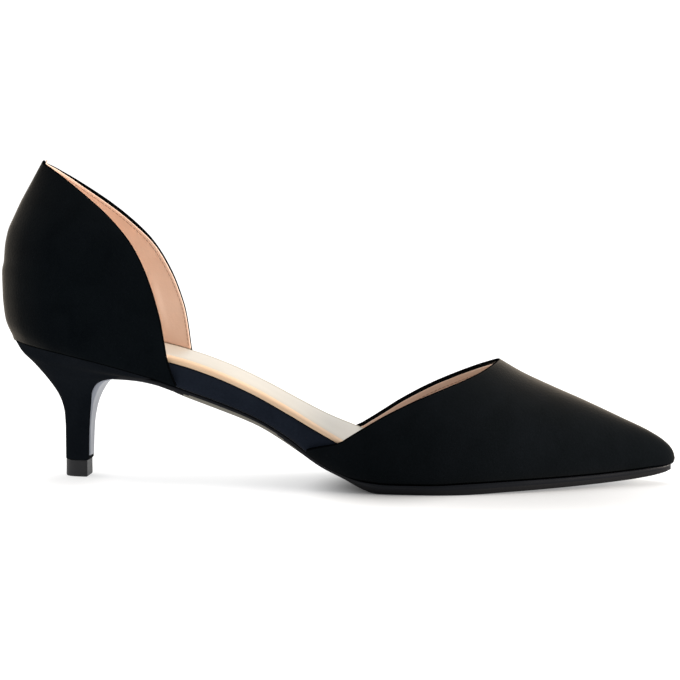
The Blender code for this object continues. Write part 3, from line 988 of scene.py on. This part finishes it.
def linear(hex_colour):
    parts = [int(hex_colour[k : k + 2], 16) / 255 for k in (1, 3, 5)]
    return (*[c / 12.92 if c <= 0.04045 else ((c + 0.055) / 1.055) ** 2.4 for c in parts], 1.0)


def add_node(tree, kind, settings=None, links=None):
    """Add a node with its settings, where a name in links joins an input to another node's output."""
    made = tree.nodes.new(kind)
    for name, value in (settings or {}).items():
        if name in made.inputs:
            made.inputs[name].default_value = value
        else:
            setattr(made, name, value)
    for name, source in (links or {}).items():
        tree.links.new(source, made.inputs[name])
    return made


def per_mm(size):
    """Scale of a pattern whose features are this many millimetres across."""
    return 1000 / size


def new_material(name, settings):
    made = bpy.data.materials.new(name)
    made.use_nodes = True
    shader = made.node_tree.nodes["Principled BSDF"]
    for key, value in settings.items():
        shader.inputs[key].default_value = value
    made.diffuse_color = shader.inputs["Base Color"].default_value
    return made, made.node_tree, shader


def shade(tree, low, high, source, start=0.3, end=0.7):
    """Colour that runs from low to high with a pattern."""
    ramp = add_node(tree, "ShaderNodeValToRGB", links={"Fac": source})
    ramp.color_ramp.elements[0].position = start
    ramp.color_ramp.elements[0].color = linear(low)
    ramp.color_ramp.elements[1].position = end
    ramp.color_ramp.elements[1].color = linear(high)
    return ramp.outputs["Color"]


def suede(name, dark, light, sheen):
    """Split kid suede: short upright fibres that swallow light face on and catch it along an edge.
    The real nap is under 0.3 mm, so it is drawn at 0.8 mm to show."""
    made, tree, shader = new_material(
        name,
        {
            "Base Color": linear(dark),
            "Roughness": 0.95,
            "Specular IOR Level": 0.0,
            "Sheen Weight": sheen,
            "Sheen Roughness": 0.3,
            "Sheen Tint": linear("#D6CABA"),
        },
    )
    place = add_node(tree, "ShaderNodeTexCoord").outputs["Object"]
    nap = add_node(
        tree,
        "ShaderNodeTexNoise",
        {"Scale": per_mm(0.8), "Detail": 3.0, "Roughness": 0.6},
        {"Vector": place},
    )
    brush = add_node(
        tree,
        "ShaderNodeTexNoise",
        {"Scale": per_mm(11), "Detail": 3.0, "Distortion": 0.6},
        {"Vector": place},
    )
    both = add_node(
        tree, "ShaderNodeMix", {"Factor": 0.45}, {"A": brush.outputs["Fac"], "B": nap.outputs["Fac"]}
    )
    tree.links.new(shade(tree, dark, light, both.outputs["Result"]), shader.inputs["Base Color"])
    bump = add_node(
        tree, "ShaderNodeBump", {"Strength": 0.35, "Distance": 0.0003}, {"Height": nap.outputs["Fac"]}
    )
    tree.links.new(bump.outputs["Normal"], shader.inputs["Normal"])
    return made


def leather(name, low, high, grain, settings, strength):
    """Smooth pigmented leather: even colour with a fine pebble grain and a soft sheen."""
    made, tree, shader = new_material(name, {"Base Color": linear(low), **settings})
    place = add_node(tree, "ShaderNodeTexCoord").outputs["Object"]
    cloud = add_node(tree, "ShaderNodeTexNoise", {"Scale": per_mm(16), "Detail": 4.0}, {"Vector": place})
    pebble = add_node(tree, "ShaderNodeTexVoronoi", {"Scale": per_mm(grain)}, {"Vector": place})
    tree.links.new(shade(tree, low, high, cloud.outputs["Fac"]), shader.inputs["Base Color"])
    bump = add_node(
        tree,
        "ShaderNodeBump",
        {"Strength": strength, "Distance": 0.0002},
        {"Height": pebble.outputs["Distance"]},
    )
    tree.links.new(bump.outputs["Normal"], shader.inputs["Normal"])
    return made


def sole_sheet(name, colour, rough, grit, strength, settings):
    """Resin sole sheet: moulded and painted at its edge, so it mirrors the room softly."""
    made, tree, shader = new_material(name, {"Base Color": linear(colour), "Roughness": rough, **settings})
    place = add_node(tree, "ShaderNodeTexCoord").outputs["Object"]
    wear = add_node(tree, "ShaderNodeTexNoise", {"Scale": per_mm(grit), "Detail": 4.0}, {"Vector": place})
    span = add_node(
        tree,
        "ShaderNodeMapRange",
        {"To Min": rough * 0.8, "To Max": rough * 1.25},
        {"Value": wear.outputs["Fac"]},
    )
    tree.links.new(span.outputs["Result"], shader.inputs["Roughness"])
    bump = add_node(
        tree,
        "ShaderNodeBump",
        {"Strength": strength, "Distance": 0.0002},
        {"Height": wear.outputs["Fac"]},
    )
    tree.links.new(bump.outputs["Normal"], shader.inputs["Normal"])
    return made


def stitch_tree():
    """Thread stitches at even steps along a line."""
    tree = bpy.data.node_groups.new("stitches along a line", "GeometryNodeTree")
    for name, kind, way in (
        ("Line", "NodeSocketGeometry", "INPUT"),
        ("Step", "NodeSocketFloat", "INPUT"),
        ("Stitch length", "NodeSocketFloat", "INPUT"),
        ("Thread", "NodeSocketFloat", "INPUT"),
        ("Material", "NodeSocketMaterial", "INPUT"),
        ("Stitches", "NodeSocketGeometry", "OUTPUT"),
    ):
        tree.interface.new_socket(name, in_out=way, socket_type=kind)
    given = add_node(tree, "NodeGroupInput").outputs
    curve = add_node(tree, "GeometryNodeMeshToCurve", links={"Mesh": given["Line"]})
    points = add_node(
        tree,
        "GeometryNodeResampleCurve",
        {"mode": "LENGTH"},
        {"Curve": curve.outputs["Curve"], "Length": given["Step"]},
    )
    size = add_node(
        tree,
        "ShaderNodeCombineXYZ",
        links={"X": given["Stitch length"], "Y": given["Thread"], "Z": given["Thread"]},
    )
    ball = add_node(tree, "GeometryNodeMeshUVSphere", {"Segments": 8, "Rings": 6, "Radius": 0.5})
    tangent = add_node(tree, "GeometryNodeInputTangent")
    turned = add_node(
        tree, "FunctionNodeAlignRotationToVector", {"axis": "X"}, {"Vector": tangent.outputs["Tangent"]}
    )
    placed = add_node(
        tree,
        "GeometryNodeInstanceOnPoints",
        links={
            "Points": points.outputs["Curve"],
            "Instance": ball.outputs["Mesh"],
            "Rotation": turned.outputs["Rotation"],
            "Scale": size.outputs["Vector"],
        },
    )
    real = add_node(tree, "GeometryNodeRealizeInstances", links={"Geometry": placed.outputs["Instances"]})
    dressed = add_node(
        tree,
        "GeometryNodeSetMaterial",
        links={"Geometry": real.outputs["Geometry"], "Material": given["Material"]},
    )
    add_node(tree, "NodeGroupOutput", links={"Stitches": dressed.outputs["Geometry"]})
    return tree


def stitch(name, lines, look, tree, sizes):
    """Row of stitches along each line of points, as one plain mesh."""
    points, edges = [], []
    for line in lines:
        edges += [(len(points) + k, len(points) + k + 1) for k in range(len(line) - 1)]
        points += [tuple(p) for p in in_frame(line)]
    mesh = bpy.data.meshes.new(name)
    mesh.from_pydata(points, edges, [])
    made = put(name, mesh)
    rows = made.modifiers.new("stitches", "NODES")
    rows.node_group = tree
    values = {"Material": look, **{key: size / 1000 for key, size in sizes.items()}}
    for item in tree.interface.items_tree:
        if item.in_out == "INPUT" and item.name in values:
            rows[item.identifier] = values[item.name]
    graph = bpy.context.evaluated_depsgraph_get()
    plain = bpy.data.meshes.new_from_object(made.evaluated_get(graph))
    made.modifiers.remove(rows)
    made.data = plain
    plain.polygons.foreach_set("use_smooth", [True] * len(plain.polygons))
    if not plain.materials:
        plain.materials.append(look)
    return made


def skived(off):
    """Share of the suede's thickness left this far from the nose."""
    return SKIVED_LEAST + (1 - SKIVED_LEAST) * ramp(off, 0, SKIVED_REACH)


def lining_foot(x):
    """Height of the vamp lining's foot, twice as high at the toe."""
    return LINING_FOOT * (1 + ramp(x, LINING_FOOT_START, LINING_FOOT_RUN))


def build_vamp(suede_look, edge_look, lining_look):
    up = (0, 0, 1)
    roll = SUEDE_THICK / 2
    grid = vamp_grid(
        per_side=46, rows=84, lead=roll, foot_height=lambda x: roll * skived(TOE_X - x), tail=NOSE_TAIL
    )
    nose = (TOE_X, SOLE[-1][1], SOLE[-1][3] + NOSE_LIFT)
    thick = SUEDE_THICK * skived(np.linalg.norm(grid - np.array(nose), axis=2))
    looks = [suede_look, edge_look]
    outer = rolled_sheet("vamp_suede", grid, outward(grid, up), thick, looks, pole=nose)
    lead = VAMP_FOLD + LINING_THICK / 2
    lining = vamp_grid(per_side=40, rows=70, lead=lead, foot_height=lining_foot, tail=LINING_STOP)
    out = outward(lining, up)
    lining = lining - out * (SUEDE_THICK + LAYER_GAP)
    inner = rolled_sheet("vamp_lining", lining, out, LINING_THICK, [lining_look, lining_look], rolls=4)
    return outer, inner


def build_counter(suede_look, edge_look, lining_look):
    roll = SUEDE_THICK / 2
    grid, out, face = counter_grid(
        around=72,
        up=64,
        inset=lambda share: 0 * share + roll,
        low=roll,
        foot_height=lambda side, s: 0 * s + roll,
    )
    grid = grid + out * stiffener_step(face[..., 0], face[..., 1])[..., None]
    outer = rolled_sheet("counter_suede", grid, out, SUEDE_THICK, [suede_look, edge_look])
    more = LINING_THICK / 2
    lining, out, face = counter_grid(
        around=72,
        up=56,
        inset=lambda share: fold_width(share) + more,
        low=COUNTER_LINING_LOW,
        foot_height=above_sock,
    )
    lift = LINING_THICK + puckers(face[..., 0], face[..., 1])
    shift = SUEDE_THICK + LAYER_GAP - np.minimum(stiffener_step(face[..., 0], face[..., 1]), 0)
    lining = lining - out * shift[..., None]
    inner = rolled_sheet("counter_lining", lining, out, lift, [lining_look, lining_look], rolls=4)
    return outer, inner


def seam_inset(share):
    """How far the lining's seam runs inside the counter's edge."""
    return fold_width(share) + read(SEAM, SEAM_COLUMNS, "share", "inside", share)


def counter_seam():
    """Line on the lining beside the counter's edge, from the foot of one side over the peak to the other."""
    sides = []
    for side in (1, -1):
        line = evenly(counter_edge(side, seam_inset, COUNTER_SEAM_LOW), count=160)
        points, out = cup_face(side, line[:, 0], line[:, 1])
        layers = SUEDE_THICK + LAYER_GAP + LINING_THICK + THREAD_PROUD
        deep = layers - np.minimum(stiffener_step(line[:, 0], line[:, 1]), 0)
        sides.append(points - out * (deep + puckers(line[:, 0], line[:, 1]))[:, None])
    return np.concatenate([sides[0][::-1], sides[1][1:]])


def vamp_seam():
    """Line on the lining beside the throat."""
    grid = vamp_grid(
        per_side=60,
        rows=40,
        lead=VAMP_FOLD + VAMP_SEAM_IN,
        foot_height=lambda x: VAMP_SEAM_FOOT + 0 * x,
        tail=LINING_STOP,
    )
    inside = grid - outward(grid, (0, 0, 1)) * (WALL + VAMP_THREAD_PROUD)
    return inside[0, VAMP_SEAM_TRIM:-VAMP_SEAM_TRIM]


# Nap standing up: deep black face on, with a soft rim of light where it turns away
SUEDE = suede("split kid suede, black", "#06090C", "#0B0F12", 0.62)
# Vamp: the same suede with a lighter base, painted light for the light that falls on its upturned face
VAMP_SUEDE_PAINTED_LIGHT = suede("split kid suede, black, nap brushed to the toe", "#080B0D", "#0D1013", 0.62)
# Nap pulled flat over a form: a shade greyer, with little or no rim of light. On the heel the lighter base
# is painted light, standing in for the light on the heel with its rim of sheen taken off
HEEL_SUEDE_PAINTED_LIGHT = suede("split kid suede, black, stretched over the heel", "#0D1014", "#13161A", 0.05)
BAND_SUEDE = suede("split kid suede, black, wrapped round the board", "#161A22", "#1D222B", 0.2)
# Cut edge dyed through, with no nap: the darkest line of the shoe. Its base is set darker than the suede's
# as painted shade, so the seams and rolled edges read as dark lines
SUEDE_EDGE = leather(
    "suede edge, cut and dyed black, darkened as painted shade",
    "#030405",
    "#060708",
    0.6,
    {"Roughness": 0.9, "Specular IOR Level": 0.0},
    0.1,
)
# Undressed leather: warm peach with a low even sheen
SOFT_SHEEN = {"Roughness": 0.5, "Specular IOR Level": 0.4}
LINING = leather("pigskin lining, peach", "#DFC0AC", "#E5CAB8", 0.9, SOFT_SHEEN, 0.12)
# Vamp lining: the same pigskin with a darker base, painted shade for the shade inside the vamp
LINING_PAINTED_SHADE = leather("pigskin lining, peach, one shade deeper", "#DDBBA6", "#E3C5B2", 0.9, SOFT_SHEEN, 0.12)
SOCK_EDGE = leather("sock leather, bare rolled edge", "#CBAC8C", "#D1B496", 0.7, SOFT_SHEEN, 0.06)
# Glazed top: a thin clear coat that takes a broad pale shine from above. Its pale grey base is painted
# reflection: the top is the tan leather of the edge, whitened in colour for the white shine it shows at a
# low angle
SOCK_TOP_PAINTED_SHINE = leather(
    "glazed sock leather, peach, top painted pale for its shine",
    "#B1AA9D",
    "#B7B0A3",
    0.7,
    {"Roughness": 0.4, "Specular IOR Level": 0.15, "Coat Weight": 0.3, "Coat Roughness": 0.28},
    0.04,
)
# Matt turned edge: a duller line along the far side of the glazed top
SOCK_RIM = leather(
    "sock leather, matt turned edge",
    "#9B9383",
    "#A29A8A",
    0.7,
    {"Roughness": 0.6, "Specular IOR Level": 0.2},
    0.06,
)
# One moulded sheet, black with a painted edge. The paler looks are painted light: a light-grey shine on the
# breast flap and a pale glint along the lower edge under the waist
RAND_GLOSS = sole_sheet(
    "resin sole, painted edge", "#0B0D12", 0.3, 6.0, 0.03, {"Specular IOR Level": 0.12}
)
# Breast flap: the same black resin with a light-grey base, painted shine for the reflection along the
# upright flap
FLAP_PAINTED_SHINE = sole_sheet(
    "resin sole, breast flap, painted shine", "#868A94", 0.4, 6.0, 0.03, {"Specular IOR Level": 0.5}
)
# Lower edge under the waist: the same black resin with a pale base, a painted glint for the light it catches
# from the floor
WAIST_PAINTED_GLINT = sole_sheet(
    "resin sole, edge buffed under the waist", "#6B675D", 0.4, 6.0, 0.03, {"Specular IOR Level": 0.4}
)
TREAD = sole_sheet("resin sole, tread", "#131315", 0.6, 1.2, 0.25, {"Specular IOR Level": 0.12})
# Moulded rubber: near black with a dull broad shine
TIP = sole_sheet("tip rubber, dark grey", "#0B0B10", 0.5, 0.8, 0.2, {"Specular IOR Level": 0.4})
# Waxed thread: a darker dotted line on the pale lining
THREAD = leather("waxed thread, brown", "#8F6E5B", "#9C7A66", 0.5, {"Roughness": 0.6}, 0.1)

vamp_suede, vamp_lining = build_vamp(VAMP_SUEDE_PAINTED_LIGHT, SUEDE_EDGE, LINING_PAINTED_SHADE)
counter_suede, counter_lining = build_counter(SUEDE, SUEDE_EDGE, LINING)
board_band = build_board(BAND_SUEDE)
sock = build_sock(SOCK_TOP_PAINTED_SHINE, SOCK_EDGE, SOCK_RIM)
outsole_rand = build_outsole(RAND_GLOSS, TREAD, FLAP_PAINTED_SHINE, WAIST_PAINTED_GLINT)
heel_cover = build_heel(HEEL_SUEDE_PAINTED_LIGHT)
heel_tip_rubber = build_tip(TIP)
tree = stitch_tree()
stitches = stitch(
    "lining_stitches",
    [counter_seam(), vamp_seam()],
    THREAD,
    tree,
    {"Step": 1.7, "Stitch length": 1.6, "Thread": 0.24},
)

for made, nodes, slot in (
    (vamp_suede, ["vamp"], "suede"),
    (vamp_lining, [], "sock_leather"),
    (counter_suede, ["heel_counter"], "suede"),
    (counter_lining, [], "sock_leather"),
    (board_band, ["insole_board"], "suede"),
    (sock, ["insole_sock"], "sock_leather"),
    (outsole_rand, ["outsole"], "sole_sheet"),
    (heel_cover, ["heel_block"], "suede"),
    (heel_tip_rubber, ["heel_tip"], "tip_rubber"),
    (stitches, [], "sock_leather"),
):
    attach(made, "root")
    if nodes:
        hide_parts(*nodes)


# Soft shadows painted into the paper's glow under the forefoot and the ball: middle, reach and the light
# left in the middle
FLOOR_SHADOW_COLUMNS = ("x", "y", "reach_x", "reach_y", "low")
FLOOR_SHADOWS = (
    (181.7, -34.0, 110.0, 80.0, 0.44),
    (146.5, -13.9, 34.0, 60.0, 0.03),
    (232.0, -34.0, 70.0, 90.0, 0.8),
    (27.6, -10.0, 18.0, 42.0, 0.82),
)


def build_floor():
    """Pale paper that runs back and curves up into a backdrop; it glows, with soft shadows painted into its
    glow.
    """
    bend, back, depth, width, height = 0.6, 1.4, -3.0, 3.5, 3.0
    line = [(depth, 0.0), (0.0, 0.0), (back, 0.0)]
    turns = np.linspace(0.1, math.pi / 2, 16)
    line += [(back + bend * math.sin(a), bend - bend * math.cos(a)) for a in turns]
    line.append((back + bend, height))
    points = [(x, y, z) for y, z in line for x in (-width, width)]
    faces = [(2 * k, 2 * k + 1, 2 * k + 3, 2 * k + 2) for k in range(len(line) - 1)]
    mesh = bpy.data.meshes.new("studio_floor")
    mesh.from_pydata(points, [], faces)
    mesh.polygons.foreach_set("use_smooth", [True] * len(mesh.polygons))
    made = put("studio_floor", mesh)
    paper, tree, shader = new_material(
        "studio paper, white, glowing, with painted shadows",
        {
            "Base Color": linear("#A8A8A8"),
            "Roughness": 0.9,
            "Specular IOR Level": 0.1,
            "Emission Color": (1.0, 1.0, 1.0, 1.0),
            "Emission Strength": 0.6,
        },
    )
    place = add_node(tree, "ShaderNodeTexCoord").outputs["Object"]
    soft = {"interpolation_type": "SMOOTHSTEP"}
    level = add_node(tree, "ShaderNodeSeparateXYZ", links={"Vector": place})
    fade = add_node(
        tree,
        "ShaderNodeMapRange",
        {**soft, "From Min": 0.26, "From Max": 0.6, "To Min": 0.78, "To Max": 0.5},
        {"Value": level.outputs["Z"]},
    )
    light = fade.outputs["Result"]
    for spot in named(FLOOR_SHADOWS, FLOOR_SHADOW_COLUMNS):
        reach = np.array([spot.reach_x, spot.reach_y, 1000.0]) / 1000
        near = add_node(tree, "ShaderNodeVectorMath", {"operation": "MULTIPLY_ADD"}, {0: place})
        near.inputs[1].default_value = 1 / reach
        near.inputs[2].default_value = -in_frame((spot.x, spot.y, 0.0)) / reach
        off = add_node(tree, "ShaderNodeVectorMath", {"operation": "LENGTH"}, {0: near.outputs["Vector"]})
        dim = add_node(
            tree,
            "ShaderNodeMapRange",
            {**soft, "From Min": 0.2, "From Max": 1.0, "To Min": spot.low, "To Max": 1.0},
            {"Value": off.outputs["Value"]},
        )
        both = add_node(
            tree, "ShaderNodeMath", {"operation": "MULTIPLY"}, {0: light, 1: dim.outputs["Result"]}
        )
        light = both.outputs["Value"]
    tree.links.new(light, shader.inputs["Emission Strength"])
    mesh.materials.append(paper)
    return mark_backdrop(made)


# Softboxes in metres of the frame, with their power in watts
LIGHT_COLUMNS = ("name", "place", "target", "size", "power", "colour")
LIGHTS = (
    ("top softbox", (0.1, 0.3, 1.3), (0.0, 0.0, 0.03), (1.8, 1.2), 14, "#FFFFFF"),
    ("toe softbox", (0.9, 0.0, 0.2), (0.1, 0.0, 0.02), (0.6, 0.3), 16, "#FFF4E8"),
    ("heel softbox", (-0.95, 0.3, 0.45), (-0.1, 0.0, 0.06), (0.5, 0.7), 4, "#FFF8EE"),
)


def add_light(box):
    lamp = bpy.data.lights.new(box.name, "AREA")
    lamp.shape = "RECTANGLE"
    lamp.size, lamp.size_y = box.size
    lamp.energy = box.power
    lamp.color = linear(box.colour)[:3]
    made = put(box.name, lamp)
    made.location = box.place
    made.rotation_euler = (Vector(box.target) - Vector(box.place)).to_track_quat("-Z", "Y").to_euler()


def add_camera():
    """Long lens from the outer side, a little ahead of square and a little above."""
    azimuth, elevation, distance = math.radians(6.7), math.radians(5.3), 1.0
    sensor, focal_pixels, picture_pixels = 36.0, 2722, 680
    target = Vector(in_frame((125.9, 0.0, 51.6)))
    back = Vector(
        (
            math.sin(azimuth) * math.cos(elevation),
            -math.cos(azimuth) * math.cos(elevation),
            math.sin(elevation),
        )
    )
    lens = bpy.data.cameras.new("photo camera")
    lens.sensor_width = sensor
    lens.lens = sensor * focal_pixels / picture_pixels
    lens.clip_start = 0.05
    made = put("photo camera", lens)
    made.location = target + back * distance
    made.rotation_euler = (-back).to_track_quat("-Z", "Y").to_euler()
    bpy.context.scene.camera = made


build_floor()
for softbox in named(LIGHTS, LIGHT_COLUMNS):
    add_light(softbox)
world = bpy.data.worlds.new("studio room")
world.use_nodes = True
world.node_tree.nodes["Background"].inputs["Color"].default_value = linear("#F0F2F4")
world.node_tree.nodes["Background"].inputs["Strength"].default_value = 0.65
bpy.context.scene.world = world
bpy.context.scene.view_settings.view_transform = "Standard"
add_camera()

bpy.context.view_layer.update()
